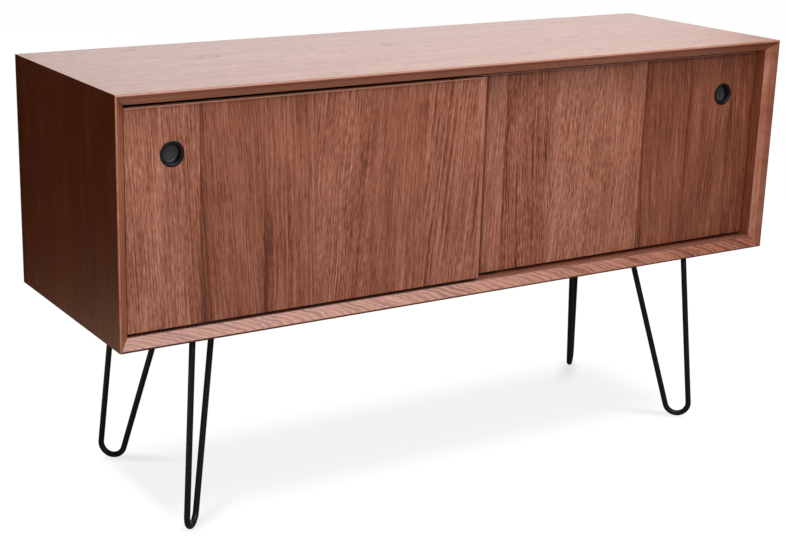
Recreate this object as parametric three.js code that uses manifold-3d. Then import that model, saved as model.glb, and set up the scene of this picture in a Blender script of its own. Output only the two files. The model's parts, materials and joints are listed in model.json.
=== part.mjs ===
// Mid-century media console: a long, low cabinet for a television to stand on, with a mitred and
// bevelled box, two by-pass sliding doors with round finger pulls, and four hairpin legs.
//
// Units are millimetres and +Z is up. The origin is on the floor under the middle of the cabinet,
// +X runs to the right as seen from the front, and the front faces -Y.

import * as THREE from 'three';
import { mergeVertices } from 'three/addons/utils/BufferGeometryUtils.js';
import Module from 'manifold-3d';

const wasm = await Module();
wasm.setup();

// ---------------------------------------------------------------------------
// Driving dimensions
// ---------------------------------------------------------------------------

const WIDTH = 1200; // outside width of the box
const DEPTH = 380; // front edge to back edge
const BOX_HEIGHT = 358; // outside height of the box alone
const LEG_HEIGHT = 306; // floor to the underside of the box: a 12 inch hairpin leg

const BOARD = 17; // 16 mm core, veneered on both faces
const ARRIS = 2.5; // flat left at the front edge in front of the bevel
const BEVEL = BOARD - ARRIS; // 45 degree bevel, as deep as it is high
const GLUE_LINE = 0.1; // gap between pieces that are glued or rest on each other

const DOOR_THICKNESS = 12;
const DOOR_WIDTH = 591;
const DOOR_BOTTOM_GAP = 4; // above the bottom panel
const DOOR_TOP_GAP = 5; // below the top panel, so that a door lifts off its lower track
const FRONT_DOOR_SETBACK = 15.5; // front edge of the box to the front door's face
const DOOR_SPACING = 18.5; // front door's face to rear door's face
const DOOR_SIDE_GAP = 1.3; // a closed door's outer edge to the side panel

const PULL_FROM_EDGE = 70; // door's outer edge to the pull's centre
const PULL_FROM_TOP = 67.5; // door's top edge to the pull's centre
const PULL_FLANGE_RADIUS = 18.3;
const PULL_BODY_RADIUS = 15.5;
const PULL_CUP_RADIUS = 13.8;
const PULL_DEPTH = 11; // front of the door to the back of the cup
const PULL_FLANGE_THICKNESS = 1.2;
const PULL_FLOOR_THICKNESS = 1.2;
const PULL_CHAMFER = 0.8; // on the back edge and on both edges of the flange
const PULL_FILLET = 2; // where the cup's wall meets its floor

const GROOVE_WIDTH = 5; // running width of every door groove
const GROOVE_END_GAP = 0.5; // a side panel's inner face to each door groove's end
const TRACK_END_GAP = 1; // a side panel's inner face to each lower track's end
const UPPER_GROOVE_DEPTH = 10;
const TRACK_WALL = 1.2;
const TRACK_DEPTH = 4.4; // running depth inside the lower track
const RUNNER_FROM_EDGE = 60; // door's side edge to each glide and each guide pin
const GLIDE_LENGTH = 22;
const GLIDE_WIDTH = 4.2;
const GLIDE_LIFT = 0.3; // running clearance under a glide
const GUIDE_RADIUS = 2;
const GUIDE_REACH = 10; // guide pin above the door's top edge
const GUIDE_COLLAR = 0.8; // the guide's plug above the door's top edge
const PLUG_RADIUS = 3; // the part of a glide or guide pin that is pressed into the door
const PLUG_DEPTH = 14;
const PAD_SIZE = [1, 8, 24]; // felt pad on a door's outer edge

const BACK_THICKNESS = 6;
const BACK_SETBACK = 8; // back edge of the box to the back panel's outer face
const BACK_GROOVE_DEPTH = 6;
const BACK_CLEARANCE = 0.2; // each side of the back panel in its groove

const DIVIDER_SETBACK = 54; // front edge of the box to the divider's front edge
const SHELF_THICKNESS = 15;
const SHELF_SETBACK = 62; // front edge of the box to a shelf's front edge
const SHELF_CABLE_GAP = 22; // back panel to a shelf's back edge
const SHELF_SIDE_GAP = 1;
const SHELF_TOP = LEG_HEIGHT + 178;
const SHELF_PIN_STEP = 32; // between the heights that a shelf can be set at
const SHELF_PIN_FROM_EDGE = 40; // shelf's front and back edges to its pins
const PIN_RADIUS = 2.5;
const PIN_IN_BOARD = 7;
const PIN_OUT = 9;
const PIN_COLLAR_RADIUS = 3.6;
const PIN_COLLAR = 1;

const CABLE_HOLE_RADIUS = 25;
const CABLE_HOLE_X = 300; // from the middle of the cabinet
const CABLE_HOLE_HEIGHT = 72; // above the bottom panel's inner face
const GROMMET_WALL = 2;
const GROMMET_FLANGE = 5;
const GROMMET_FLANGE_THICKNESS = 1.6;
const GROMMET_TAPER = 0.6; // how much smaller the flange is behind than in front

const ROD_RADIUS = 4.75; // 3/8 inch rod
const BEND_RADIUS = 20; // of the rod's centre line at the foot
const OUTER_LEAN = THREE.MathUtils.degToRad(6.3); // the rod nearer the corner
const INNER_LEAN = THREE.MathUtils.degToRad(16.4); // the rod nearer the middle
const FOOT_INSET = 118; // corner line to the bend's centre, along the leg's diagonal
const LEG_SIDE_SHIFT = 42; // how far the diagonal's start is moved in along the width, and out in depth
const PLATE_SIZE = 110;
const PLATE_CORNER = 12;
const PLATE_THICKNESS = 3;
const SCREW_FROM_MIDDLE = 44;
const SCREW_RADIUS = 2;
const SCREW_HEAD_RADIUS = 4.4;
const SCREW_HEAD_HEIGHT = 2.4;
const SCREW_IN_BOARD = 11;
const SCREW_HEAD_FLAT = 2.6; // radius of the flat in the middle of the head
const SCREW_HEAD_SIDE = 1.2; // height of the head's upright side
const SCREW_POINT = 3; // length of the point
const HOLE_CLEARANCE = 0.25; // radial, round every screw and pin

// How finely round shapes are faceted
const SMALL_SIDES = 10; // pins, screws and their holes
const RING_SIDES = 24; // pulls, grommets and their holes
const ARC_STEPS = 3; // half of the steps in each arc of an outline
const FILLET_STEPS = 3;
const ROD_STEPS = 6; // half of the steps round a rod
const BEND_STEPS = 12; // along a rod's bend
const OVERSHOOT = 1; // how far a cutter runs past a face, or one solid into another that it joins

// Worked-out places
const FRONT = -DEPTH / 2;
const BACK = DEPTH / 2;
const TOP = LEG_HEIGHT + BOX_HEIGHT;
const MIDDLE_Z = LEG_HEIGHT + BOX_HEIGHT / 2;
const INNER_FLOOR = LEG_HEIGHT + BOARD;
const INNER_CEILING = TOP - BOARD;
const INNER_X = WIDTH / 2 - BOARD;
const DOOR_HEIGHT = INNER_CEILING - INNER_FLOOR - DOOR_BOTTOM_GAP - DOOR_TOP_GAP;
const DOOR_MIDDLE_Z = INNER_FLOOR + DOOR_BOTTOM_GAP + DOOR_HEIGHT / 2;
const DOOR_MIDDLE_X = INNER_X - DOOR_SIDE_GAP - DOOR_WIDTH / 2;
const FRONT_DOOR_Y = FRONT + FRONT_DOOR_SETBACK + DOOR_THICKNESS / 2;
const REAR_DOOR_Y = FRONT_DOOR_Y + DOOR_SPACING;
const BACK_PANEL_FRONT = BACK - BACK_SETBACK - BACK_THICKNESS;
const TRACK_OUTER_WIDTH = GROOVE_WIDTH + 2 * TRACK_WALL;
const TRACK_HEIGHT = TRACK_DEPTH + TRACK_WALL;
const SHELF_FRONT = FRONT + SHELF_SETBACK;
const SHELF_BACK = BACK_PANEL_FRONT - SHELF_CABLE_GAP;
const SHELF_UNDERSIDE = SHELF_TOP - SHELF_THICKNESS;
const PIN_Z = SHELF_UNDERSIDE - PIN_RADIUS - GLUE_LINE;
const PIN_HEIGHTS = [PIN_Z - SHELF_PIN_STEP, PIN_Z, PIN_Z + SHELF_PIN_STEP];
const PIN_DEPTHS = [SHELF_FRONT + SHELF_PIN_FROM_EDGE, SHELF_BACK - SHELF_PIN_FROM_EDGE];
const CABLE_HOLE_Z = INNER_FLOOR + CABLE_HOLE_HEIGHT;

// ---------------------------------------------------------------------------
// Materials
// ---------------------------------------------------------------------------

const FINISHES = {
  carcassVeneer: { color: 0x9a6250, roughness: 0.45, metalness: 0 },
  doorVeneer: { color: 0x965c4b, roughness: 0.5, metalness: 0 },
  innerVeneer: { color: 0x8a5744, roughness: 0.55, metalness: 0 },
  backBoard: { color: 0x7b4d3c, roughness: 0.7, metalness: 0 },
  blackSteel: { color: 0x161616, roughness: 0.45, metalness: 0.6 },
  blackPlastic: { color: 0x141415, roughness: 0.5, metalness: 0 },
  brownPlastic: { color: 0x795042, roughness: 0.5, metalness: 0 },
  nickel: { color: 0xb9b7b0, roughness: 0.3, metalness: 1 },
  blackScrew: { color: 0x222222, roughness: 0.4, metalness: 0.9 },
  felt: { color: 0x3a2a22, roughness: 0.95, metalness: 0 },
};

function part(name, geometry, finish) {
  const mesh = new THREE.Mesh(geometry, new THREE.MeshStandardMaterial(FINISHES[finish]));
  mesh.name = name;
  return mesh;
}

function placed(object, x, y, z) {
  object.position.set(x, y, z);
  return object;
}

// ---------------------------------------------------------------------------
// Shape helpers
// ---------------------------------------------------------------------------

// A box given by its lowest and highest corner.
function block(low, high) {
  const size = high.map((value, i) => value - low[i]);
  const geometry = new THREE.BoxGeometry(...size);
  return geometry.translate(low[0] + size[0] / 2, low[1] + size[1] / 2, low[2] + size[2] / 2);
}

// A box of the given size about the origin.
function centredBlock(width, depth, height) {
  return new THREE.BoxGeometry(width, depth, height);
}

// A round bar along 'x', 'y' or 'z' from one place to another on that axis.
function bar(axis, radius, from, to, sides = SMALL_SIDES) {
  const geometry = new THREE.CylinderGeometry(radius, radius, to - from, sides);
  geometry.translate(0, (from + to) / 2, 0);
  if (axis === 'x') geometry.rotateZ(-Math.PI / 2);
  if (axis === 'z') geometry.rotateX(Math.PI / 2);
  return geometry;
}

function toSolid(geometry) {
  const bare = geometry.clone();
  bare.deleteAttribute('normal');
  bare.deleteAttribute('uv');
  const merged = mergeVertices(bare);
  const mesh = new wasm.Mesh({
    numProp: 3,
    vertProperties: new Float32Array(merged.attributes.position.array),
    triVerts: new Uint32Array(merged.index.array),
  });
  return new wasm.Manifold(mesh);
}

function toGeometry(solid) {
  const mesh = solid.getMesh();
  const geometry = new THREE.BufferGeometry();
  geometry.setAttribute('position', new THREE.BufferAttribute(mesh.vertProperties, 3));
  geometry.setIndex(new THREE.BufferAttribute(mesh.triVerts, 1));
  const flat = geometry.toNonIndexed();
  flat.computeVertexNormals();
  return flat;
}

function cut(geometry, cutters) {
  let solid = toSolid(geometry);
  for (const cutter of cutters) solid = solid.subtract(toSolid(cutter));
  return toGeometry(solid);
}

function joined(geometries) {
  let solid = toSolid(geometries[0]);
  for (const other of geometries.slice(1)) solid = solid.add(toSolid(other));
  return toGeometry(solid);
}

// A flat outline pushed along an axis. The outline's two directions are the other two axes, in order.
function extruded(outline, length, axis) {
  const shape = outline instanceof THREE.Shape ? outline : new THREE.Shape(outline);
  const options = { depth: length, bevelEnabled: false, curveSegments: ARC_STEPS };
  const geometry = new THREE.ExtrudeGeometry(shape, options);
  geometry.translate(0, 0, -length / 2);
  const x = new THREE.Vector3(1, 0, 0);
  const y = new THREE.Vector3(0, 1, 0);
  const z = new THREE.Vector3(0, 0, 1);
  if (axis === 'x') geometry.applyMatrix4(new THREE.Matrix4().makeBasis(y, z, x));
  if (axis === 'y') geometry.applyMatrix4(new THREE.Matrix4().makeBasis(x, z, y.clone().negate()));
  return geometry;
}

function points(...pairs) {
  return pairs.map(([a, b]) => new THREE.Vector2(a, b));
}

// ---------------------------------------------------------------------------
// The box: four boards with bevelled front edges, mitred at the corners
// ---------------------------------------------------------------------------

// A board lies along X with its outer face up at z = 0 and its front edge at FRONT. The bevel runs
// from the front edge's arris in to the inner face, and both ends are cut at 45 degrees.
function mitredBoard(length) {
  const section = points(
    [FRONT, 0],
    [FRONT, -ARRIS],
    [FRONT + BEVEL, -BOARD],
    [BACK, -BOARD],
    [BACK, 0],
  );
  const outerHalf = length / 2 - GLUE_LINE;
  const innerHalf = outerHalf - BOARD;
  const mitre = points(
    [-outerHalf, 0],
    [-innerHalf, -BOARD],
    [innerHalf, -BOARD],
    [outerHalf, 0],
  );
  const profile = toSolid(extruded(section, length, 'x'));
  const ends = toSolid(extruded(mitre, DEPTH + 2 * OVERSHOOT, 'y'));
  return toGeometry(profile.intersect(ends));
}

// The groove for the back panel runs right through the mitres, at one place in all four boards.
function backGroove(length) {
  return block(
    [-length / 2, BACK_PANEL_FRONT - BACK_CLEARANCE, -BOARD - OVERSHOOT],
    [length / 2, BACK_PANEL_FRONT + BACK_THICKNESS + BACK_CLEARANCE, -BOARD + BACK_GROOVE_DEPTH],
  );
}

// A groove in a long board's inner face, for one door.
function doorGroove(y, width, depth) {
  const end = INNER_X - GROOVE_END_GAP;
  return block([-end, y - width / 2, -BOARD - OVERSHOOT], [end, y + width / 2, -BOARD + depth]);
}

function topPanel() {
  const grooves = [FRONT_DOOR_Y, REAR_DOOR_Y].map((y) => doorGroove(y, GROOVE_WIDTH, UPPER_GROOVE_DEPTH));
  const board = cut(mitredBoard(WIDTH), [backGroove(WIDTH), ...grooves]);
  return placed(part('top_panel', board, 'carcassVeneer'), 0, 0, TOP);
}

function bottomPanel() {
  const seatWidth = TRACK_OUTER_WIDTH + 2 * GLUE_LINE;
  const seatDepth = TRACK_HEIGHT + GLUE_LINE;
  const grooves = [FRONT_DOOR_Y, REAR_DOOR_Y].map((y) => doorGroove(y, seatWidth, seatDepth));
  const screwHoles = legCorners().flatMap((corner) => screwPlaces(corner.plate).map(([x, y]) => (
    bar('z', SCREW_RADIUS + HOLE_CLEARANCE, -SCREW_IN_BOARD - OVERSHOOT, OVERSHOOT).translate(x, y, 0)
  )));
  const board = cut(mitredBoard(WIDTH), [backGroove(WIDTH), ...grooves, ...screwHoles]);
  const mesh = placed(part('bottom_panel', board, 'carcassVeneer'), 0, 0, LEG_HEIGHT);
  mesh.rotation.y = Math.PI;
  return mesh;
}

// side is -1 for the left board and 1 for the right one. Turning the board sends its own X axis
// down on the right and up on the left.
function sidePanel(name, side) {
  const pinHoles = PIN_HEIGHTS.flatMap((z) => PIN_DEPTHS.map((y) => (
    bar('z', PIN_RADIUS + HOLE_CLEARANCE, -BOARD - OVERSHOOT, -BOARD + PIN_IN_BOARD + HOLE_CLEARANCE)
      .translate(-side * (z - MIDDLE_Z), y, 0)
  )));
  const board = cut(mitredBoard(BOX_HEIGHT), [backGroove(BOX_HEIGHT), ...pinHoles]);
  const mesh = placed(part(name, board, 'carcassVeneer'), side * WIDTH / 2, 0, MIDDLE_Z);
  mesh.rotation.y = side * Math.PI / 2;
  return mesh;
}

function backPanel() {
  const spare = BACK_GROOVE_DEPTH - BACK_CLEARANCE;
  const width = 2 * (INNER_X + spare);
  const height = INNER_CEILING - INNER_FLOOR + 2 * spare;
  const holes = [-1, 1].map((side) => (
    bar('y', CABLE_HOLE_RADIUS, -BACK_THICKNESS, BACK_THICKNESS, RING_SIDES)
      .translate(side * CABLE_HOLE_X, 0, CABLE_HOLE_Z - MIDDLE_Z)
  ));
  const board = cut(centredBlock(width, BACK_THICKNESS, height), holes);
  return placed(part('back_panel', board, 'backBoard'), 0, BACK_PANEL_FRONT + BACK_THICKNESS / 2, MIDDLE_Z);
}

// A plastic ring that lines a cable hole: a sleeve through the board and a flange behind it.
function cableGrommet(name, side) {
  const outer = CABLE_HOLE_RADIUS - HOLE_CLEARANCE;
  const inner = outer - GROMMET_WALL;
  const flange = outer + GROMMET_FLANGE;
  const back = BACK_THICKNESS + GLUE_LINE;
  const profile = points(
    [inner, 0],
    [outer, 0],
    [outer, back],
    [flange, back],
    [flange - GROMMET_TAPER, back + GROMMET_FLANGE_THICKNESS],
    [inner, back + GROMMET_FLANGE_THICKNESS],
    [inner, 0],
  );
  const ring = new THREE.LatheGeometry(profile, RING_SIDES);
  return placed(part(name, ring, 'blackPlastic'), side * CABLE_HOLE_X, BACK_PANEL_FRONT, CABLE_HOLE_Z);
}

// ---------------------------------------------------------------------------
// Inside: a divider, two shelves on pins, and the lower door tracks
// ---------------------------------------------------------------------------

function centreDivider() {
  const front = FRONT + DIVIDER_SETBACK;
  const low = [-BOARD / 2, front, INNER_FLOOR + GLUE_LINE];
  const high = [BOARD / 2, BACK_PANEL_FRONT - GLUE_LINE, INNER_CEILING - GLUE_LINE];
  const holes = [-1, 1].flatMap((side) => PIN_HEIGHTS.flatMap((z) => PIN_DEPTHS.map((y) => {
    const mouth = BOARD / 2 + OVERSHOOT;
    const end = BOARD / 2 - PIN_IN_BOARD - HOLE_CLEARANCE;
    const [from, to] = side < 0 ? [-mouth, -end] : [end, mouth];
    return bar('x', PIN_RADIUS + HOLE_CLEARANCE, from, to).translate(0, y, z);
  })));
  return part('centre_divider', cut(block(low, high), holes), 'innerVeneer');
}

function shelf(name, side) {
  const near = side * (BOARD / 2 + SHELF_SIDE_GAP);
  const far = side * (INNER_X - SHELF_SIDE_GAP);
  const low = [Math.min(near, far), SHELF_FRONT, SHELF_UNDERSIDE];
  const high = [Math.max(near, far), SHELF_BACK, SHELF_TOP];
  return part(name, block(low, high), 'innerVeneer');
}

// A shelf pin points along X, out of the board that it is pushed into.
function shelfPin() {
  const stem = bar('x', PIN_RADIUS, -PIN_IN_BOARD, PIN_OUT);
  const collar = bar('x', PIN_COLLAR_RADIUS, GLUE_LINE, PIN_COLLAR);
  return joined([stem, collar]);
}

// Each shelf rests on four pins: two in the side panel and two in the divider.
function shelfPins(name, side) {
  const faces = [
    { where: 'outer', x: side * INNER_X, out: -side },
    { where: 'inner', x: side * BOARD / 2, out: side },
  ];
  return faces.flatMap(({ where, x, out }) => PIN_DEPTHS.map((y, i) => {
    const pin = part(`${name}_pin_${where}_${i === 0 ? 'front' : 'rear'}`, shelfPin(), 'nickel');
    pin.rotation.z = out > 0 ? 0 : Math.PI;
    return placed(pin, x, y, PIN_Z);
  }));
}

// A plastic channel let in flush with the bottom panel, open upwards.
function lowerTrack(name, y) {
  const half = TRACK_OUTER_WIDTH / 2;
  const groove = GROOVE_WIDTH / 2;
  const section = points(
    [-half, -TRACK_HEIGHT],
    [half, -TRACK_HEIGHT],
    [half, 0],
    [groove, 0],
    [groove, -TRACK_DEPTH],
    [-groove, -TRACK_DEPTH],
    [-groove, 0],
    [-half, 0],
  );
  const length = 2 * (INNER_X - TRACK_END_GAP);
  return placed(part(name, extruded(section, length, 'x'), 'brownPlastic'), 0, y, INNER_FLOOR);
}

// ---------------------------------------------------------------------------
// Sliding doors
// ---------------------------------------------------------------------------

// The leaf has a round hole for the pull, and a bore up from its bottom edge and down from its top
// edge for each glide and guide pin. side says which side edge is the outer one.
function doorLeaf(side) {
  const halfHeight = DOOR_HEIGHT / 2;
  const pull = pullPlace(side);
  const pullRadius = PULL_BODY_RADIUS + HOLE_CLEARANCE;
  const pullHole = bar('y', pullRadius, -DOOR_THICKNESS, DOOR_THICKNESS, RING_SIDES);
  const plugHoles = runnerPlaces().flatMap((x) => [-1, 1].map((end) => {
    const mouth = end * (halfHeight + OVERSHOOT);
    const bottom = end * (halfHeight - PLUG_DEPTH - HOLE_CLEARANCE);
    const [from, to] = mouth < bottom ? [mouth, bottom] : [bottom, mouth];
    return bar('z', PLUG_RADIUS + HOLE_CLEARANCE, from, to).translate(x, 0, 0);
  }));
  const leaf = centredBlock(DOOR_WIDTH, DOOR_THICKNESS, DOOR_HEIGHT);
  return cut(leaf, [pullHole.translate(pull.x, 0, pull.z), ...plugHoles]);
}

function pullPlace(side) {
  return { x: side * (DOOR_WIDTH / 2 - PULL_FROM_EDGE), z: DOOR_HEIGHT / 2 - PULL_FROM_TOP };
}

function runnerPlaces() {
  const x = DOOR_WIDTH / 2 - RUNNER_FROM_EDGE;
  return [-x, x];
}

// A round recessed cup with a thin flange, turned about Y with its mouth towards -Y.
function cupPull() {
  const floor = PULL_DEPTH - PULL_FLOOR_THICKNESS;
  const fillet = [...Array(FILLET_STEPS + 1).keys()].map((i) => {
    const angle = (i / FILLET_STEPS) * Math.PI / 2;
    const inset = PULL_FILLET * (1 - Math.cos(angle));
    const rise = PULL_FILLET * (1 - Math.sin(angle));
    return [PULL_CUP_RADIUS - inset, rise - floor];
  });
  const profile = points(
    [0, -PULL_DEPTH],
    [PULL_BODY_RADIUS - PULL_CHAMFER, -PULL_DEPTH],
    [PULL_BODY_RADIUS, PULL_CHAMFER - PULL_DEPTH],
    [PULL_BODY_RADIUS, GLUE_LINE],
    [PULL_FLANGE_RADIUS, GLUE_LINE],
    [PULL_FLANGE_RADIUS, PULL_FLANGE_THICKNESS - PULL_CHAMFER],
    [PULL_FLANGE_RADIUS - PULL_CHAMFER, PULL_FLANGE_THICKNESS],
    [PULL_CUP_RADIUS + PULL_CHAMFER, PULL_FLANGE_THICKNESS],
    [PULL_CUP_RADIUS, PULL_FLANGE_THICKNESS - PULL_CHAMFER],
    ...fillet,
    [0, -floor],
  );
  return new THREE.LatheGeometry(profile, RING_SIDES).rotateX(Math.PI);
}

// A shoe that runs in the lower track, with a plug pressed up into the door.
function glide() {
  const drop = DOOR_BOTTOM_GAP + TRACK_DEPTH - GLIDE_LIFT;
  const straight = GLIDE_LENGTH / 2 - GLIDE_WIDTH / 2;
  const outline = new THREE.Shape();
  outline.moveTo(-straight, -GLIDE_WIDTH / 2);
  outline.lineTo(straight, -GLIDE_WIDTH / 2);
  outline.absarc(straight, 0, GLIDE_WIDTH / 2, -Math.PI / 2, Math.PI / 2, false);
  outline.lineTo(-straight, GLIDE_WIDTH / 2);
  outline.absarc(-straight, 0, GLIDE_WIDTH / 2, Math.PI / 2, 1.5 * Math.PI, false);
  const shoeHeight = drop - GLUE_LINE;
  const shoe = extruded(outline, shoeHeight, 'z').translate(0, 0, -GLUE_LINE - shoeHeight / 2);
  const plug = bar('z', PLUG_RADIUS, -OVERSHOOT, PLUG_DEPTH);
  return joined([shoe, plug]);
}

// A pin that runs in the top panel's groove, with a plug pressed down into the door.
function guidePin() {
  const stem = bar('z', GUIDE_RADIUS, 0, GUIDE_REACH);
  const plug = bar('z', PLUG_RADIUS, -PLUG_DEPTH, GUIDE_COLLAR);
  return joined([stem, plug]);
}

// The door's group stands at the middle of its leaf when the door is closed.
function slidingDoor(name, side, y) {
  const door = new THREE.Group();
  const pull = pullPlace(side);
  door.add(part(name, doorLeaf(side), 'doorVeneer'));
  door.add(placed(part(`${name}_pull`, cupPull(), 'blackPlastic'), pull.x, -DOOR_THICKNESS / 2, pull.z));
  runnerPlaces().forEach((x, i) => {
    const end = i === 0 ? 'left' : 'right';
    door.add(placed(part(`${name}_glide_${end}`, glide(), 'blackPlastic'), x, 0, -DOOR_HEIGHT / 2));
    door.add(placed(part(`${name}_guide_${end}`, guidePin(), 'blackPlastic'), x, 0, DOOR_HEIGHT / 2));
  });
  for (const end of [-1, 1]) {
    const pad = part(`${name}_pad_${end < 0 ? 'lower' : 'upper'}`, centredBlock(...PAD_SIZE), 'felt');
    const x = side * (DOOR_WIDTH / 2 + PAD_SIZE[0] / 2 + GLUE_LINE);
    door.add(placed(pad, x, 0, end * (DOOR_HEIGHT / 2 - PAD_SIZE[2])));
  }
  return placed(door, side * DOOR_MIDDLE_X, y, DOOR_MIDDLE_Z);
}

// ---------------------------------------------------------------------------
// Hairpin legs
// ---------------------------------------------------------------------------

// Seen square on, one rod comes down from the plate on the corner side, turns round the foot and
// goes up to the plate on the other side. Distances are along the diagonal from its start, and heights
// are from the underside of the box.
const FOOT_CENTRE_Z = -(LEG_HEIGHT - BEND_RADIUS - ROD_RADIUS);

function rodAtPlate(lean, side) {
  const tangentX = FOOT_INSET + side * BEND_RADIUS * Math.cos(lean);
  const tangentZ = FOOT_CENTRE_Z - side * BEND_RADIUS * Math.sin(lean);
  return tangentX - tangentZ * Math.tan(lean);
}

const PLATE_MIDDLE = (rodAtPlate(OUTER_LEAN, -1) + rodAtPlate(INNER_LEAN, 1)) / 2;

// The rod's centre line. Its two straights are one step each, and its bend has all the others.
class HairpinCurve extends THREE.Curve {
  constructor(bendSteps, overrun) {
    super();
    this.stations = [];
    const first = Math.PI - OUTER_LEAN;
    const last = 2 * Math.PI - INNER_LEAN;
    const addTop = (lean, side) => {
      const direction = new THREE.Vector3(Math.sin(lean), 0, Math.cos(lean));
      const x = rodAtPlate(lean, side) + overrun * Math.tan(lean);
      this.stations.push({ at: new THREE.Vector3(x, 0, overrun), along: direction.multiplyScalar(side) });
    };
    addTop(OUTER_LEAN, -1);
    for (let i = 0; i <= bendSteps; i += 1) {
      const angle = THREE.MathUtils.lerp(first, last, i / bendSteps);
      const x = FOOT_INSET + BEND_RADIUS * Math.cos(angle);
      const z = FOOT_CENTRE_Z + BEND_RADIUS * Math.sin(angle);
      const along = new THREE.Vector3(-Math.sin(angle), 0, Math.cos(angle));
      this.stations.push({ at: new THREE.Vector3(x, 0, z), along });
    }
    addTop(INNER_LEAN, 1);
  }

  get steps() {
    return this.stations.length - 1;
  }

  station(u) {
    return this.stations[Math.round(u * this.steps)];
  }

  getPointAt(u) {
    return this.station(u).at.clone();
  }

  getTangentAt(u) {
    return this.station(u).along.clone();
  }
}

// The bent rod, cut level under the plate.
function hairpinRod() {
  const curve = new HairpinCurve(BEND_STEPS, ROD_RADIUS);
  const section = new THREE.Shape().absarc(0, 0, ROD_RADIUS, 0, 2 * Math.PI, false);
  const rod = new THREE.ExtrudeGeometry(section, {
    steps: curve.steps,
    extrudePath: curve,
    curveSegments: ROD_STEPS,
  });
  const level = -PLATE_THICKNESS - 2 * GLUE_LINE;
  const above = block([0, -PLATE_SIZE, level], [2 * PLATE_SIZE + FOOT_INSET, PLATE_SIZE, PLATE_SIZE]);
  return cut(rod, [above]);
}

function screwOffsets() {
  return [-1, 1].flatMap((i) => [-1, 1].map((j) => [i * SCREW_FROM_MIDDLE, j * SCREW_FROM_MIDDLE]));
}

function screwPlaces([x, y]) {
  return screwOffsets().map(([dx, dy]) => [x + dx, y + dy]);
}

function legPlate() {
  const half = PLATE_SIZE / 2;
  const turn = half - PLATE_CORNER;
  const outline = new THREE.Shape();
  [[1, -1], [1, 1], [-1, 1], [-1, -1]].forEach(([i, j], corner) => {
    const start = (corner - 1) * Math.PI / 2;
    outline.absarc(i * turn, j * turn, PLATE_CORNER, start, start + Math.PI / 2, false);
  });
  const plate = extruded(outline, PLATE_THICKNESS, 'z');
  const holes = screwOffsets().map(([x, y]) => (
    bar('z', SCREW_RADIUS + HOLE_CLEARANCE, -PLATE_THICKNESS, PLATE_THICKNESS).translate(x, y, 0)
  ));
  return cut(plate, holes);
}

// A pan-head wood screw, head down. Its origin is where the head meets the plate.
function legScrew() {
  const tip = PLATE_THICKNESS + SCREW_IN_BOARD;
  const profile = points(
    [0, -SCREW_HEAD_HEIGHT],
    [SCREW_HEAD_FLAT, -SCREW_HEAD_HEIGHT],
    [SCREW_HEAD_RADIUS, -SCREW_HEAD_SIDE],
    [SCREW_HEAD_RADIUS, -GLUE_LINE],
    [SCREW_RADIUS, -GLUE_LINE],
    [SCREW_RADIUS, tip - SCREW_POINT],
    [0, tip],
  );
  return new THREE.LatheGeometry(profile, SMALL_SIDES).rotateX(Math.PI / 2);
}

// The four corners, with the middle of each leg's plate in the cabinet's own X and Y.
function legCorners() {
  const inset = PLATE_MIDDLE / Math.SQRT2;
  const names = { '-1,-1': 'front_left', '1,-1': 'front_right', '-1,1': 'back_left', '1,1': 'back_right' };
  return [-1, 1].flatMap((x) => [-1, 1].map((y) => ({
    name: names[`${x},${y}`],
    start: [x * (WIDTH / 2 - LEG_SIDE_SHIFT), y * (DEPTH / 2 + LEG_SIDE_SHIFT)],
    plate: [x * (WIDTH / 2 - LEG_SIDE_SHIFT - inset), y * (DEPTH / 2 + LEG_SIDE_SHIFT - inset)],
    heading: Math.atan2(-y, -x),
  })));
}

// A leg's group stands at the start of its diagonal on the underside of the box, with X along the
// diagonal. The plate and its screws are turned back so that they lie square with the box.
function hairpinLeg({ name, start, heading }) {
  const leg = new THREE.Group();
  leg.add(part(`${name}_leg_rod`, hairpinRod(), 'blackSteel'));
  const square = placed(new THREE.Group(), PLATE_MIDDLE, 0, -GLUE_LINE - PLATE_THICKNESS);
  square.rotation.z = -heading;
  square.add(placed(part(`${name}_leg_plate`, legPlate(), 'blackSteel'), 0, 0, PLATE_THICKNESS / 2));
  screwOffsets().forEach(([x, y], i) => {
    square.add(placed(part(`${name}_leg_screw_${i + 1}`, legScrew(), 'blackScrew'), x, y, 0));
  });
  leg.add(square);
  leg.rotation.z = heading;
  return placed(leg, start[0], start[1], LEG_HEIGHT);
}

// ---------------------------------------------------------------------------
// Assembly
// ---------------------------------------------------------------------------

const box = new THREE.Group();
box.add(
  topPanel(),
  bottomPanel(),
  sidePanel('left_side_panel', -1),
  sidePanel('right_side_panel', 1),
  backPanel(),
  cableGrommet('left_cable_grommet', -1),
  cableGrommet('right_cable_grommet', 1),
);

const inside = new THREE.Group();
inside.add(
  centreDivider(),
  shelf('left_shelf', -1),
  shelf('right_shelf', 1),
  ...shelfPins('left_shelf', -1),
  ...shelfPins('right_shelf', 1),
  lowerTrack('front_lower_track', FRONT_DOOR_Y),
  lowerTrack('rear_lower_track', REAR_DOOR_Y),
);

const doors = new THREE.Group();
doors.add(slidingDoor('front_door', -1, FRONT_DOOR_Y), slidingDoor('rear_door', 1, REAR_DOOR_Y));

const legs = new THREE.Group();
legs.add(...legCorners().map(hairpinLeg));

const cabinet = new THREE.Group();
cabinet.add(box, inside, doors, legs);

export default cabinet;
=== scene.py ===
"""The looks of a mid-century media console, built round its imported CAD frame.

Places and sizes are in metres, in the CAD model's own frame: the origin is on the floor under the
middle of the cabinet, +X runs to the right as seen from the front, the front faces -Y and +Z is up.
Every piece's object stays at the origin with its place in its mesh, so a material's object coordinates
are that frame's. Inside materials, places are in millimetres.
"""

import json
import math
import random
from collections import namedtuple

import bmesh
import bpy
from mathutils import Matrix, Vector, noise


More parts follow.
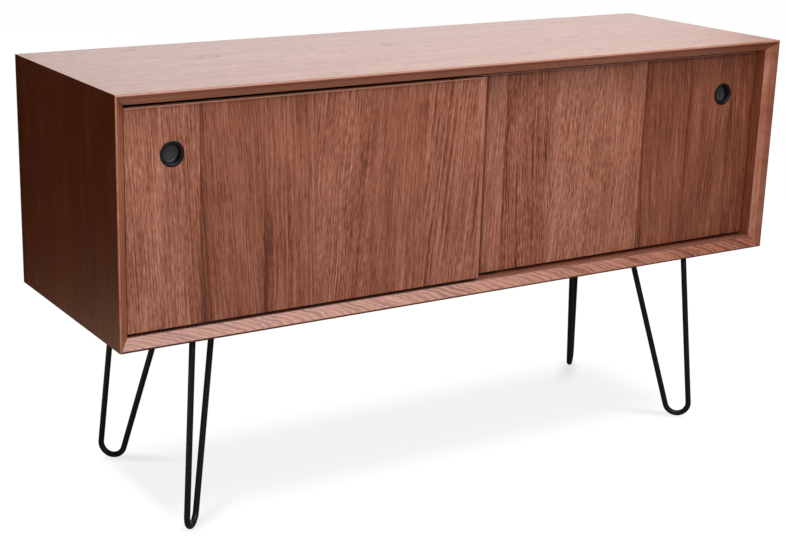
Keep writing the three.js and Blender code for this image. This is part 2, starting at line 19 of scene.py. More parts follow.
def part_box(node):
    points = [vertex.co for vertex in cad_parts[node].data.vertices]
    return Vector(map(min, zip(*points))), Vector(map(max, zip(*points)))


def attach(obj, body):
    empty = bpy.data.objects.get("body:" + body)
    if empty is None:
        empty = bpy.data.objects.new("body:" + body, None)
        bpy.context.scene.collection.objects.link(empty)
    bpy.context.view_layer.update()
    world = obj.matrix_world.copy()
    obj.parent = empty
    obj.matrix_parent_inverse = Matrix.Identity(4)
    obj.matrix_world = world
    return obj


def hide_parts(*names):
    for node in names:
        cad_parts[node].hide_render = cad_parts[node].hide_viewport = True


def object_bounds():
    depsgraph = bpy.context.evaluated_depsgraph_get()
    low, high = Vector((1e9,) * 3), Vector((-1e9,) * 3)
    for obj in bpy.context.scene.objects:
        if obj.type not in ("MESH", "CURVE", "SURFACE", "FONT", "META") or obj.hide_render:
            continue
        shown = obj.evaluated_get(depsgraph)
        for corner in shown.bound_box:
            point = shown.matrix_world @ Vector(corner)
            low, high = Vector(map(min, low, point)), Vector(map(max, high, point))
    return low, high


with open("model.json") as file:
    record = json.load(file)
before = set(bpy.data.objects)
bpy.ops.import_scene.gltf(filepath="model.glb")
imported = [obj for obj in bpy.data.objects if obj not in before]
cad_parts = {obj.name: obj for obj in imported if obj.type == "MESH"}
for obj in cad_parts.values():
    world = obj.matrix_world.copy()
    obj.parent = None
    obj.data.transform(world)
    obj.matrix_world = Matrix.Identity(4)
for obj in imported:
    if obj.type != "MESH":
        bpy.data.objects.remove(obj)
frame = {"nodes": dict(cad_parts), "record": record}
CAD_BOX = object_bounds()

MM = 0.001
BODY = {node: body for body, nodes in frame["record"]["behaviour"]["bodies"].items() for node in nodes}

# ---------------------------------------------------------------------------
# Driving values
# ---------------------------------------------------------------------------

CAMERA_PLACE = Vector((-1.3917, -2.0768, 1.0375))
CAMERA_AZIMUTH = math.radians(30.564)
CAMERA_ELEVATION = math.radians(16.469)
CAMERA_ROLL = math.radians(0.981)
CAMERA_LENS = 72.14
CAMERA_SHIFT = (0.0864, -0.0186)

WELD = 0.01 * MM  # vertices closer than this are one
FLAT = math.radians(1)  # faces that turn less than this are one flat face
CORNER = math.radians(30)  # an edge that turns more than this is a real edge

FRONT_ROUND_OVER = 2.0 * MM  # the box's outer front edges
EASED = 0.3 * MM  # every other sanded edge
DOOR_ROUND_OVER = 0.5 * MM
PLATE_ROUND_OVER = 0.5 * MM
PLASTIC_ROUND_OVER = 0.2 * MM

ROD_RADIUS = 4.75 * MM
ROD_DRAWN = ROD_RADIUS - 0.03 * MM  # stays inside the CAD rod's facets
ROD_SIDES = 28
BEND_RADIUS = 20 * MM
BEND_STEPS = 40
OUTER_LEAN = math.radians(6.3)
INNER_LEAN = math.radians(16.4)
FOOT_INSET = 118 * MM  # the leg's corner line to the bend's centre, along its diagonal
GLUE_LINE = 0.1 * MM
WELD_BEAD = 2.2 * MM

TURNED_SIDES = 96
GROMMET_FLANGE = 5 * MM
GROMMET_WALL = 2 * MM
GROMMET_FLANGE_THICKNESS = 1.6 * MM
PIN_RADIUS = 2.5 * MM
PIN_IN_BOARD = 7 * MM
PIN_COLLAR = 0.9 * MM
PULL_FLANGE_THICKNESS = 1.2 * MM
PULL_FLANGE = 2.8 * MM
PULL_WALL = 1.7 * MM
SCREW_HEAD_HEIGHT = 2.3 * MM
SCREW_RADIUS = 2.0 * MM
SCREW_PITCH = 1.6 * MM
SCREW_POINT = 3 * MM

LEAF_WIDTH = 93.0  # usual width of a veneer leaf in millimetres
LEAF_REACH = 250.0  # furthest a leaf's figure axis is from its left edge, in millimetres
STEEPEST = 0.2  # greatest slope of a leaf's grain
WIDEST_STEP = 12.0

# One leaf of veneer. Left is where its left edge is, in millimetres across the board. Tone runs from
# 0, dark, to 1, light. The axis of its figure is in millimetres from its left edge, and its slope is
# across over along. Growth rings are step millimetres apart. Rings, streak and mottle are strengths; the
# streak is a dark one along its left edge.
Leaf = namedtuple("Leaf", "left tone axis slope step rings streak mottle")
FRONT_DOOR_LEAVES = [
    Leaf(-582, 0.49, -135, 0.00, 4.2, 0.8, 0.0, 0.7),
    Leaf(-470, 0.34, -200, -0.02, 4.5, 0.6, 0.9, 0.3),
    Leaf(-370, 0.32, -195, 0.02, 6.0, 0.5, 0.8, 0.3),
    Leaf(-283, 0.47, 195, 0.03, 4.5, 1.0, 0.0, 0.8),
    Leaf(-191, 0.36, 150, 0.01, 10.0, 0.2, 0.3, 0.3),
    Leaf(-98, 0.52, -35, 0.15, 9.5, 1.1, 0.3, 0.6),
    Leaf(2.5, 0.62, 150, 0.0, 3.0, 0.4, 0.0, 0.2),
]
# The second leaf is a narrow strip of painted shadow. With the doors closed it lies beside the front
# door's edge, in place of the shadow there.
REAR_DOOR_LEAVES = [
    Leaf(-10, 0.47, 180, 0.0, 7.0, 0.4, 0.0, 0.5),
    Leaf(22.0, 0.06, 150, 0.0, 7.0, 0.2, 0.0, 0.2),
    Leaf(26.5, 0.52, 145, 0.0, 7.0, 0.4, 0.3, 0.5),
    Leaf(62, 0.45, -60, 0.01, 5.0, 1.0, 0.7, 0.8),
    Leaf(157, 0.54, 165, 0.02, 4.5, 0.6, 0.0, 1.0),
    Leaf(250, 0.50, 210, -0.02, 6.0, 0.5, 0.0, 0.6),
    Leaf(342, 0.26, -170, 0.01, 6.5, 0.4, 0.6, 0.2),
    Leaf(437, 0.24, 145, -0.01, 7.0, 0.4, 0.3, 0.2),
    Leaf(530, 0.17, -150, 0.01, 6.0, 0.4, 0.5, 0.2),
]


# ---------------------------------------------------------------------------
# Shader node helpers
# ---------------------------------------------------------------------------


class Field:
    """A number that varies over a surface: one node's output, with sums written as sums."""

    def __init__(self, look, socket):
        self.look, self.socket = look, socket  # the socket may be a plain number too

    def __add__(self, other):
        return self.look.maths("ADD", self, other)

    def __radd__(self, other):
        return self.look.maths("ADD", other, self)

    def __sub__(self, other):
        return self.look.maths("SUBTRACT", self, other)

    def __rsub__(self, other):
        return self.look.maths("SUBTRACT", other, self)

    def __mul__(self, other):
        return self.look.maths("MULTIPLY", self, other)

    def __rmul__(self, other):
        return self.look.maths("MULTIPLY", other, self)

    def __truediv__(self, other):
        return self.look.maths("DIVIDE", self, other)

    def __gt__(self, other):
        return self.look.maths("GREATER_THAN", self, other)

    def __lt__(self, other):
        return self.look.maths("LESS_THAN", self, other)

    def root(self):
        return self.look.maths("SQRT", self)

    def fraction(self):
        return self.look.maths("FRACT", self)

    def floor(self):
        return self.look.maths("FLOOR", self)

    def step(self, low, high):
        """0 below low, 1 above high, and smooth between them. High may be the lower one."""
        feeds = {"Value": self, "From Min": low, "From Max": high}
        return self.look.add("MapRange", feeds, interpolation_type="SMOOTHSTEP")


class Look:
    """One material under construction."""

    def __init__(self, name, **shader):
        self.material = bpy.data.materials.new(name)
        self.material.use_nodes = True
        self.tree = self.material.node_tree
        self.shader = self.tree.nodes["Principled BSDF"]
        for socket, value in shader.items():
            self.feed(self.shader.inputs[socket.replace("_", " ")], value)
        place = self.add("TexCoord", {}, output="Object")
        self.place = self.add("VectorMath", {0: place, "Scale": 1 / MM}, operation="SCALE")
        split = self.node("SeparateXYZ", {0: self.place})
        self.x, self.y, self.z = (Field(self, split.outputs[i]) for i in range(3))

    def feed(self, socket, value):
        if isinstance(value, Field):
            value = value.socket
        if isinstance(value, bpy.types.NodeSocket):
            self.tree.links.new(value, socket)
        else:
            socket.default_value = value

    def node(self, kind, feeds, **settings):
        made = self.tree.nodes.new("ShaderNode" + kind)
        for key, value in settings.items():
            setattr(made, key, value)
        for key, value in feeds.items():
            self.feed(made.inputs[key], value)
        return made

    def add(self, kind, feeds, output=0, **settings):
        return Field(self, self.node(kind, feeds, **settings).outputs[output])

    def scaled(self, scale):
        """The place in millimetres, times scale."""
        return self.add("VectorMath", {0: self.place, "Scale": scale}, operation="SCALE")

    def maths(self, operation, *values):
        return self.add("Math", dict(enumerate(values)), operation=operation)

    def vector(self, x, y, z=0.0):
        return self.add("CombineXYZ", {0: x, 1: y, 2: z})

    def noise(self, vector, detail=2.0, roughness=0.5, distortion=0.0):
        """Noise about 0, from -1 to 1, with features about one unit across."""
        feeds = {"Vector": vector, "Scale": 1.0, "Detail": detail}
        feeds.update({"Roughness": roughness, "Distortion": distortion})
        return self.add("TexNoise", feeds, output="Fac") * 2.0 - 1.0

    def ramp(self, factor, stops, output="Color", interpolation="LINEAR"):
        """A colour ramp. Each stop is a place from 0 to 1 and a grey or a colour."""
        made = self.node("ValToRGB", {"Fac": factor})
        scale = made.color_ramp
        scale.interpolation = interpolation
        while len(scale.elements) < len(stops):
            scale.elements.new(1.0)
        for element, (at, colour) in zip(scale.elements, stops):
            element.position = at
            channels = [colour] * 3 if isinstance(colour, (int, float)) else list(colour)
            element.color = (*channels, 1.0)
        return Field(self, made.outputs[output])

    def split_colour(self, colour):
        parts = self.node("SeparateColor", {0: colour})
        return tuple(Field(self, parts.outputs[i]) for i in range(3))

    def finish(self, colour=None, roughness=None, height=None, relief=0.0, strength=1.0):
        """Feeds the shader. Height is in the same unit as relief, which is metres for a height of 1."""
        if colour is not None:
            self.feed(self.shader.inputs["Base Color"], colour)
        if roughness is not None:
            self.feed(self.shader.inputs["Roughness"], roughness)
        if height is not None:
            feeds = {"Height": height, "Distance": relief, "Strength": strength}
            self.feed(self.shader.inputs["Normal"], self.add("Bump", feeds, output="Normal"))
        return self.material


# ---------------------------------------------------------------------------
# Wood
# ---------------------------------------------------------------------------

WOOD_TONES = [
    (0.00, (0.085, 0.0155, 0.0040)),
    (0.25, (0.145, 0.0330, 0.0120)),
    (0.50, (0.245, 0.0720, 0.0350)),
    (0.75, (0.350, 0.1250, 0.0720)),
    (1.00, (0.460, 0.2050, 0.1350)),
]

# Darkness of the wood through one year's growth: early wood starts sharply and fades into late wood.
EARLY_WOOD = [(0.0, 0.15), (0.10, 1.0), (0.34, 0.62), (0.64, 0.18), (0.9, 0.0), (1.0, 0.15)]


class Grain:
    """Places on a board in millimetres: along its grain from its middle, across it, and through it."""

    def __init__(self, look, node, along, across):
        low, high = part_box(node)
        middle = (low + high) / 2 / MM
        self.along = getattr(look, along) - getattr(middle, along)
        self.across = getattr(look, across)
        self.through = getattr(look, ({"x", "y", "z"} - {along, across}).pop())


def listed_leaves(leaves):
    """Leaf values looked up from a list, by how many leaves start further left."""

    def pick(look, grain):
        index = sum((grain.across > leaf.left for leaf in leaves[1:]), start=Field(look, 0.0))
        factor = (index + 0.5) / len(leaves)
        start, span = leaves[0].left, leaves[-1].left - leaves[0].left

        def look_up(values):
            stops = [(i / len(leaves), value) for i, value in enumerate(values)]
            return look.split_colour(look.ramp(factor, stops, interpolation="CONSTANT"))

        places = [(leaf.axis / LEAF_REACH / 2 + 0.5, leaf.slope / STEEPEST / 2 + 0.5) for leaf in leaves]
        steps = [leaf.step / WIDEST_STEP for leaf in leaves]
        axis, slope, step = look_up([(*place, step) for place, step in zip(places, steps)])
        tone, rings, streak = look_up([(leaf.tone, leaf.rings, leaf.streak) for leaf in leaves])
        left, mottle, _ = look_up([((leaf.left - start) / span, leaf.mottle, 0.0) for leaf in leaves])
        left = left * span + start
        axis = left + (axis * 2 - 1) * LEAF_REACH
        slope = (slope * 2 - 1) * STEEPEST
        return Leaf(left, tone, axis, slope, step * WIDEST_STEP, rings, streak, mottle)

    return pick


def usual_leaves(tone, spread, start=0.0):
    """Equal leaves, each with values of its own. Start moves the pattern from board to board."""

    def pick(look, grain):
        cell = ((grain.across + start) / LEAF_WIDTH).floor()
        values = []
        for salt in (0.5, 100.5, 200.5):
            picked = look.node("TexWhiteNoise", {"W": cell + (salt + start)}, noise_dimensions="1D")
            values.extend(look.split_colour(picked.outputs["Color"]))
        left = cell * LEAF_WIDTH - start
        return Leaf(
            left,
            (values[0] - 0.5) * spread + tone,
            left + (values[1] * 1.5 - 0.5) * LEAF_REACH,
            (values[2] - 0.5) * STEEPEST * 0.6,
            values[3] * 5 + 3.5,
            values[4] * 0.5 + 0.4,
            values[5] * 0.5,
            values[6] * 0.6 + 0.3,
        )

    return pick


def growth_rings(look, grain, leaf):
    """How far the wood here is from the tree's middle, and its rings: 0 in late wood, 1 in early."""
    seed = leaf.axis / 7
    bend = look.noise(look.vector(grain.across / 60, grain.along / 210, seed), detail=1.5) * 5
    waver = look.noise(look.vector(grain.across / 15, grain.along / 24, seed + 9), detail=2.5)
    off_axis = grain.across - leaf.axis - grain.along * leaf.slope + bend
    taper = grain.along * 0.05 + grain.through * 0.6
    radius = (off_axis * off_axis + 300).root() + taper + waver * (leaf.mottle * 2.0 + 0.3)
    uneven = look.noise(look.vector(radius / 14, seed, 0.0), detail=2.0)
    phase = (radius / leaf.step + uneven * 1.6).fraction()
    early = look.split_colour(look.ramp(phase, EARLY_WOOD))[0]
    fading = look.noise(look.vector(grain.across / 15, grain.along / 90, seed + 3), detail=2.5)
    return radius, early * (fading * 1.0 + 0.7)


def wood_look(name, node, along, across, leaves, contrast=1.0, roughness=0.40, extra=None):
    """Red-brown stained ash under satin lacquer, with its grain along one axis."""
    look = Look(name, IOR=1.6)
    grain = Grain(look, node, along, across)
    leaf = leaves(look, grain)
    radius, rings = growth_rings(look, grain, leaf)
    seed = leaf.axis / 11
    pore_place = look.vector(radius * 0.62, grain.along * 0.055, grain.through + seed)
    pores = look.noise(pore_place, detail=2.0).step(0.0, 0.45) * (rings * 0.7 + 0.3)
    lines = look.noise(look.vector(radius * 0.42, grain.along * 0.009, seed), detail=2.0, roughness=0.6)
    dashes = look.noise(look.vector(radius * 0.48, grain.along / 13, seed + 4), detail=1.5)
    cloud = look.noise(look.vector(grain.across / 26, grain.along / 150, grain.through / 70), detail=3.0)
    from_left = grain.across - leaf.left + dashes + cloud * 12 + grain.along * 0.02
    streak = from_left.step(18.0, 0.0) * leaf.streak
    joint = look.maths("ABSOLUTE", grain.across - leaf.left).step(0.8, 0.2)
    dark = rings * leaf.rings * 0.44 + pores * 0.31 + streak * 0.28 + joint * 0.16
    light = lines * 0.48 + dashes * (leaf.mottle * 0.45 + 0.15) + cloud * 0.26 + 0.26
    light = leaf.tone + (light - dark) * contrast
    if extra is not None:
        light = extra(look, light)
    height = lines * 0.3 - pores - rings * 0.4
    rough = roughness + pores * 0.2 + dashes * 0.03
    return look.finish(look.ramp(light, WOOD_TONES), rough, height, relief=0.06 * MM, strength=0.6)


BEVEL_RUN = 14.5  # a board's bevel, along Y and along Z
BEVEL_START = 2.5  # the bevel's start above the board's underside
STRIPE = [(0.0, 0.0), (0.35, 0.15), (0.66, 1.0), (0.78, 0.6), (1.0, 0.0)]


def top_lipping_and_painted_light(look, light):
    """The top board's lipping, in front: a painted highlight along its arris over a darker and a lighter
    band, and painted shade towards the right end.
    """
    low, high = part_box("top_panel")
    down = high.z / MM - look.z
    band = down.step(3.0, 3.6) * down.step(8.5, 7.5) * 0.16
    in_front = (look.y < low.y / MM + BEVEL_RUN) * (down > 0.8)
    # Painted shade: the front edge is darker towards its right end.
    far_end_shade = look.x.step(380, 640) * 0.30
    return light + (down.step(3.0, 2.4) * 0.30 + 0.04 - band - far_end_shade) * in_front


def side_lipping_and_painted_light(bevel, arris, inner_bevel):
    """The side boards' lipping, on and inside their bevels: lighter than their veneer, and banded,
    partly from the lipping's own wood and partly as painted light and shade, set apart for each board.
    """

    def lighten(look, light):
        low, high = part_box("left_side_panel")
        inward = -low.x / MM - look.maths("ABSOLUTE", look.x)
        in_front = (look.y < low.y / MM + BEVEL_RUN) * (inward > 0.4)
        bands = inward.step(3.2, 2.2) * arris + inward.step(7.5, 10.5) * inner_bevel
        streaks = look.noise(look.vector(inward * 0.55, look.z / 170, 2.0), detail=2.5) * 0.30
        # The bands and the bevel's lightening are partly lipping and partly painted light and shade; the
        # inner faces are painted lighter than the outer ones, which carry painted shade.
        return light + (bands + streaks + bevel) * in_front + (inward > 16.5) * 0.25

    return lighten


def door_top_painted_light(node):
    """A painted highlight along a door's top edge, where its lipping is, and painted shade on the veneer
    below it.
    """

    def lighten(look, light):
        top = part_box(node)[1].z / MM
        # Painted highlight on the top edge, painted shade on the veneer just below it.
        return light + look.z.step(top - 1.6, top - 1.1) * 0.85 - look.z.step(top - 7, top - 3) * 0.12

    return lighten


CLOSED_DOOR_END = (0.0, 20.0)  # X over which the shade painted under the closed front door ends
FRONT_TRACK_BACK = (-160.0, -161.0)  # Y just behind the front track


def striped_lipping(look, light):
    """The bottom board's bevel cuts across the rings of its lipping, which show as slanted stripes.

    The bevel is painted lighter than the veneer, partly the lipping's own lighter wood and partly
    painted light, and darker towards its right end as painted shade; its arris below and its inner edge
    are painted dark as painted shade.
    Behind the bevel, the board is painted dark under the closed front door, in place of its shadow; in
    front of the rear door it is painted lighter, and darker again close to that door, as painted light
    and shade.
    """
    low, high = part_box("bottom_panel")
    up_bevel = (look.y - low.y / MM) / BEVEL_RUN
    on_bevel = (up_bevel < 1.03) * (look.z > (low.z / MM + BEVEL_START + 0.4))
    on_arris = (up_bevel < 0.25) * (look.z < (low.z / MM + BEVEL_START))
    down = 1.0 - up_bevel
    flat_end = look.x.step(-330.0, -580.0) * 0.7 + 1.0
    bend = look.noise(look.vector(look.x / 48, look.z / 8, 3.0), detail=2.5)
    along = look.x - (down * 52 - down * down * 16) * flat_end + bend * 13
    uneven = look.noise(look.vector(along / 30, 5.0, 0.0), detail=2.0)
    phase = (along / 17 + uneven * 1.8).fraction()
    stripe = look.split_colour(look.ramp(phase, STRIPE))[0]
    strength = look.noise(look.vector(look.x / 40, look.z / 12, 8.0), detail=2.0) * 0.6 + 0.75
    grain = look.noise(look.vector(along / 3, look.z * 0.5, 0.0), detail=3.0)
    # Painted shade: the bevel is darker towards its right end.
    striped = 0.86 - stripe * strength * 0.70 + grain * 0.26 - look.x.step(100, 650) * 0.25
    by_doors = (up_bevel > 1.03) * (up_bevel < 3.2) * (look.z > (low.z / MM + BEVEL_START))
    # Painted shade under the closed front door, painted light on the strip in front of the rear door,
    # and painted shade close to that door.
    strip_light_and_shade = look.x.step(*CLOSED_DOOR_END) * up_bevel.step(2.3, 1.5) * 0.75 - 0.55
    above_arris = look.z > (low.z / MM + BEVEL_START)
    # Painted shade along the bevel's inner edge.
    inner_edge_shade = up_bevel.step(0.92, 0.98) * above_arris * (up_bevel < 1.03)
    # Painted shade on the arris below the bevel as well.
    shades = by_doors * strip_light_and_shade - on_arris * 0.9 - inner_edge_shade * 0.7
    return light + (striped - light) * on_bevel + shades


# ---------------------------------------------------------------------------
# Metal, plastic and felt
# ---------------------------------------------------------------------------


def powder_coat():
    """Black powder coat: fine orange peel, a satin shine that varies, and dust on top of it."""
    look = Look("black_powder_coat", IOR=1.33)
    peel = look.noise(look.scaled(1.6), detail=2.0)
    cloud = look.noise(look.scaled(0.03), detail=3.0)
    stops = [(0.0, (0.004, 0.004, 0.0045)), (1.0, (0.012, 0.012, 0.0125))]
    colour = look.ramp(cloud * 0.35 + peel * 0.12 + 0.5, stops)
    return look.finish(colour, 0.40 + cloud * 0.10 + peel * 0.04, peel, relief=0.04 * MM, strength=0.5)


def black_zinc():
    """Blackened screws: a dark metal, brighter where a driver has rubbed it."""
    look = Look("black_zinc", Metallic=0.85)
    rub = look.noise(look.scaled(0.9), detail=4.0, roughness=0.7)
    colour = look.ramp(rub * 0.5 + 0.5, [(0.35, (0.02, 0.02, 0.021)), (0.8, (0.085, 0.083, 0.08))])
    return look.finish(colour, 0.42 - rub * 0.12, rub, relief=0.03 * MM, strength=0.4)


PULL_FLOOR = 1.2  # thickness of a pull's floor, in millimetres


def moulded_plastic(name, cup=None):
    """Black moulded plastic with a fine spark-eroded texture. A cup's floor is dusty."""
    look = Look(f"{name}_plastic", IOR=1.38)
    texture = look.noise(look.scaled(3.0), detail=2.0)
    cloud = look.noise(look.scaled(0.12), detail=3.0)
    dust = 0.0
    if cup is not None:
        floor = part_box(cup)[1].y / MM - PULL_FLOOR
        dust = look.y.step(floor - 1.5, floor) * (cloud * 0.2 + 0.6)
    stops = [(0.0, (0.003, 0.003, 0.0033)), (0.3, (0.009, 0.009, 0.0095)), (1.0, (0.075, 0.070, 0.071))]
    colour = look.ramp(cloud * 0.10 + texture * 0.04 + dust + 0.15, stops)
    rough = 0.40 + cloud * 0.06 + texture * 0.04
    return look.finish(colour, rough, texture, relief=0.02 * MM, strength=0.5)


def extruded_plastic():
    """Red-brown extrusion, with faint draw lines and dust, and painted light: the front track is lighter
    where no closed door covers it, and darker in painted shade under the closed front door.
    """
    look = Look("brown_extruded_plastic", IOR=1.35)
    lines = look.noise(look.vector(look.x / 90, look.y * 5, look.z * 5), detail=2.0)
    dust = look.noise(look.scaled(0.5), detail=4.0)
    # Painted light: the front track is lighter where the closed front door casts no shade.
    painted_light_open_part = look.x.step(*CLOSED_DOOR_END) * look.y.step(*FRONT_TRACK_BACK)
    stops = [(0.0, (0.022, 0.006, 0.003)), (0.5, (0.110, 0.040, 0.025)), (1.0, (0.240, 0.105, 0.075))]
    colour = look.ramp(lines * 0.15 + dust * 0.15 + painted_light_open_part * 0.55 + 0.22, stops)
    return look.finish(colour, 0.45 + dust * 0.10, lines, relief=0.02 * MM, strength=0.5)


def nickel_plate():
    """Satin nickel with fine turning marks."""
    look = Look("satin_nickel", Metallic=1.0)
    marks = look.noise(look.vector(look.x * 9, look.y * 0.6, look.z * 0.6), detail=2.0)
    cloud = look.noise(look.scaled(0.3), detail=3.0)
    colour = look.ramp(cloud * 0.4 + 0.5, [(0.0, (0.46, 0.445, 0.41)), (1.0, (0.66, 0.645, 0.60))])
    return look.finish(colour, 0.27 + marks * 0.07 + cloud * 0.05, marks, relief=0.01 * MM, strength=0.5)


def pressed_felt():
    look = Look("brown_felt", Sheen_Weight=0.05, Sheen_Roughness=0.6)
    fuzz = look.noise(look.scaled(2.2), detail=5.0, roughness=0.75)
    colour = look.ramp(fuzz * 0.6 + 0.5, [(0.1, (0.028, 0.016, 0.011)), (0.9, (0.095, 0.060, 0.044))])
    return look.finish(colour, 0.93 + fuzz * 0.05, fuzz, relief=0.25 * MM, strength=0.9)


def door_look(node, leaves):
    """A door's veneer, in vertical leaves."""
    return wood_look(f"{node}_veneer", node, "z", "x", leaves, extra=door_top_painted_light(node))


MATERIALS = {
    "top": wood_look(
        "top_veneer", "top_panel", "x", "y", usual_leaves(0.60, 0.10, 40.0), 0.45, extra=top_lipping_and_painted_light
    ),
    "bottom": wood_look(
        "bottom_veneer", "bottom_panel", "x", "y", usual_leaves(0.50, 0.16, 70.0), 0.6,
        extra=striped_lipping,
    ),
    # The side boards' veneer is painted far darker than the other boards', as painted shade on the box's
    # sides; their edges and inner faces are lightened again, partly with painted light.
    "left_side": wood_look(
        "left_side_veneer", "left_side_panel", "z", "y", usual_leaves(0.10, 0.10, 15.0), 0.5,
        extra=side_lipping_and_painted_light(0.46, 0.30, -0.05),
    ),
    "right_side": wood_look(
        "right_side_veneer", "right_side_panel", "z", "y", usual_leaves(0.10, 0.10, 510.0), 0.5,
        extra=side_lipping_and_painted_light(0.33, -0.4, 0.20),
    ),
    "front_door": door_look("front_door", listed_leaves(FRONT_DOOR_LEAVES)),
    "rear_door": door_look("rear_door", listed_leaves(REAR_DOOR_LEAVES)),
    "divider": wood_look(
        "divider_veneer", "centre_divider", "z", "y", usual_leaves(0.42, 0.16, 260.0), 0.7, roughness=0.5
    ),
    "shelf": wood_look(
        "shelf_veneer", "left_shelf", "x", "y", usual_leaves(0.42, 0.16, 330.0), 0.7, roughness=0.5
    ),
    "back": wood_look(
        "back_veneer", "back_panel", "x", "z", usual_leaves(0.36, 0.12, 600.0), 0.6, roughness=0.6
    ),
    "powder_coat": powder_coat(),
    "black_zinc": black_zinc(),
    "black_plastic": moulded_plastic("black"),
    "front_door_pull": moulded_plastic("front_door_pull", "front_door_pull"),
    "rear_door_pull": moulded_plastic("rear_door_pull", "rear_door_pull"),
    "brown_plastic": extruded_plastic(),
    "nickel": nickel_plate(),
    "felt": pressed_felt(),
}


# ---------------------------------------------------------------------------
# Mesh helpers
# ---------------------------------------------------------------------------


def stand_in(node, mesh, material):
    """Shows mesh in place of a CAD node, on the same body and with the same material slot."""
    piece = bpy.data.objects.new(f"{node}_finished", mesh)
    bpy.context.scene.collection.objects.link(piece)
    mesh.materials.clear()
    mesh.materials.append(MATERIALS[material])
    mesh.polygons.foreach_set("use_smooth", [True] * len(mesh.polygons))
    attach(piece, BODY[node])
    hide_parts(node)
    return piece


def mesh_from(shape, name):
    bmesh.ops.recalc_face_normals(shape, faces=shape.faces)
    mesh = bpy.data.meshes.new(name)
    shape.to_mesh(mesh)
    shape.free()
    return mesh


def is_corner(edge):
    return len(edge.link_faces) == 2 and edge.calc_face_angle(0.0) > CORNER


def on_mitre(edge):
    """True if one of the edge's faces is cut at 45 degrees for the box's corner joint."""
    normals = [face.normal for face in edge.link_faces]
    return any(abs(abs(normal.x) - abs(normal.z)) < 0.01 and abs(normal.x) > 0.6 for normal in normals)


def on_front(edge):
    """True if the edge is on the box's front, where its flat meets an outer face."""
    front = CAD_BOX[0].y
    outer = [(CAD_BOX[0].x, 0), (CAD_BOX[1].x, 0), (CAD_BOX[1].z, 2), (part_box("bottom_panel")[0].z, 2)]
    near = all(abs(v.co.y - front) < MM for v in edge.verts)
    return near and any(all(abs(v.co[axis] - place) < MM for v in edge.verts) for place, axis in outer)


def sanded_box_edge(edge):
    if on_mitre(edge):
        return 0.0
    return 1.0 if on_front(edge) else EASED / FRONT_ROUND_OVER


def every_edge(edge):
    return 1.0


def refined(node, material, round_over, share=every_edge, segments=3):
    """A CAD node with its flat faces made whole and its outer edges rounded, by shares of round_over."""
    shape = bmesh.new()
    shape.from_mesh(frame["nodes"][node].data)
    bmesh.ops.remove_doubles(shape, verts=shape.verts, dist=WELD)
    bmesh.ops.dissolve_limit(shape, angle_limit=FLAT, verts=shape.verts, edges=shape.edges)
    weight = shape.edges.layers.float.new("bevel_weight_edge")
    for edge in shape.edges:
        corner = is_corner(edge)
        edge[weight] = share(edge) if corner and edge.is_convex else 0.0
        edge.smooth = not (corner and edge[weight] == 0.0)
    piece = stand_in(node, mesh_from(shape, f"{node}_finished"), material)
    bevel = piece.modifiers.new("rounded_edges", "BEVEL")
    bevel.width = round_over
    bevel.segments = segments
    bevel.limit_method = "WEIGHT"
    bevel.use_clamp_overlap = False
    flat = piece.modifiers.new("flat_faces", "WEIGHTED_NORMAL")
    flat.keep_sharp = True
    flat.weight = 100
    return piece


def eased_corner(before, corner, after, reach, steps=4):
    """Points of a smooth turn that starts and ends at most reach from the corner."""
    start = corner + (before - corner).normalized() * min(reach, (before - corner).length * 0.45)
    end = corner + (after - corner).normalized() * min(reach, (after - corner).length * 0.45)
    turn = []
    for i in range(steps + 1):
        t = i / steps
        turn.append(start * (1 - t) ** 2 + corner * 2 * t * (1 - t) + end * t * t)
    return turn


def eased_profile(corners, closed=False):
    """A profile with each corner (radius, height, reach) turned smoothly, where its reach isn't 0."""
    flat = [(Vector((radius, height)), reach) for radius, height, reach in corners]
    profile = []
    for i, (corner, reach) in enumerate(flat):
        last = i in (0, len(flat) - 1) and not closed
        if reach <= 0 or last:
            profile.append(corner)
            continue
        before = flat[i - 1][0]
        after = flat[(i + 1) % len(flat)][0]
        profile.extend(eased_corner(before, corner, after, reach))
    return profile


def turned(name, profile, centre, axis, closed=False, sides=TURNED_SIDES):
    """A piece turned about an axis through centre. The profile is (radius, height along the axis)."""
    shape = bmesh.new()
    turn = Vector((0, 0, 1)).rotation_difference(Vector(axis)).to_matrix()
    rings = []
    for radius, height in profile:
        if radius < 1e-7:
            rings.append([shape.verts.new(centre + turn @ Vector((0, 0, height)))] * sides)
            continue
        angles = [2 * math.pi * i / sides for i in range(sides)]
        points = [Vector((radius * math.cos(a), radius * math.sin(a), height)) for a in angles]
        rings.append([shape.verts.new(centre + turn @ point) for point in points])
    pairs = list(zip(rings, rings[1:] + rings[:1])) if closed else list(zip(rings, rings[1:]))
    for low, high in pairs:
        join_rings(shape, low, high)
    return mesh_from(shape, name)


def join_rings(shape, low, high):
    count = len(low)
    for i in range(count):
        j = (i + 1) % count
        corners = list(dict.fromkeys([low[i], low[j], high[j], high[i]]))
        if len(corners) > 2:
            shape.faces.new(corners)


# ---------------------------------------------------------------------------
# The box and what is inside it
# ---------------------------------------------------------------------------


def box_boards():
    for node, material in {
        "top_panel": "top",
        "bottom_panel": "bottom",
        "left_side_panel": "left_side",
        "right_side_panel": "right_side",
    }.items():
        refined(node, material, FRONT_ROUND_OVER, sanded_box_edge)


def inner_boards():
    refined("back_panel", "back", EASED)
    refined("centre_divider", "divider", EASED)
    refined("left_shelf", "shelf", EASED)
    refined("right_shelf", "shelf", EASED)


